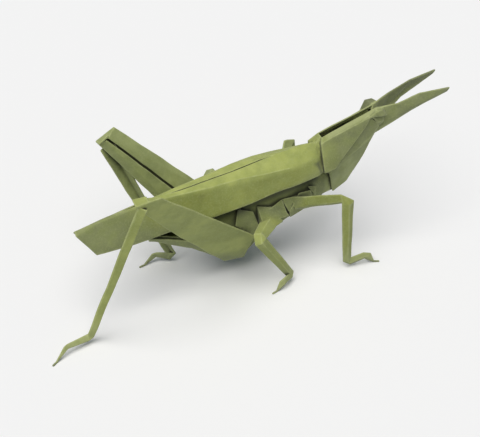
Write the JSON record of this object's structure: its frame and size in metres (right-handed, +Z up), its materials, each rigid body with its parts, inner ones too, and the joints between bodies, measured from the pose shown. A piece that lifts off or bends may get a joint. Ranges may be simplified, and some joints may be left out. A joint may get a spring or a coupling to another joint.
{
  "type": "origami grasshopper",
  "caption": "Slant-faced grasshopper folded from one sheet of green paper, standing on six folded legs with its antennae held forward.",
  "frame": {"origin": "on the ground under the middle of the figure's bounding box, on the plane of its feet", "axes": "+X towards the head and antennae, +Y to the insect's left side, +Z up"},
  "size_m": [0.1371, 0.0378, 0.0493],
  "materials": {
    "paper": "matte"
  },
  "bodies": {
    "root": {"folded_sheet": "paper"}
  },
  "joints": []
}
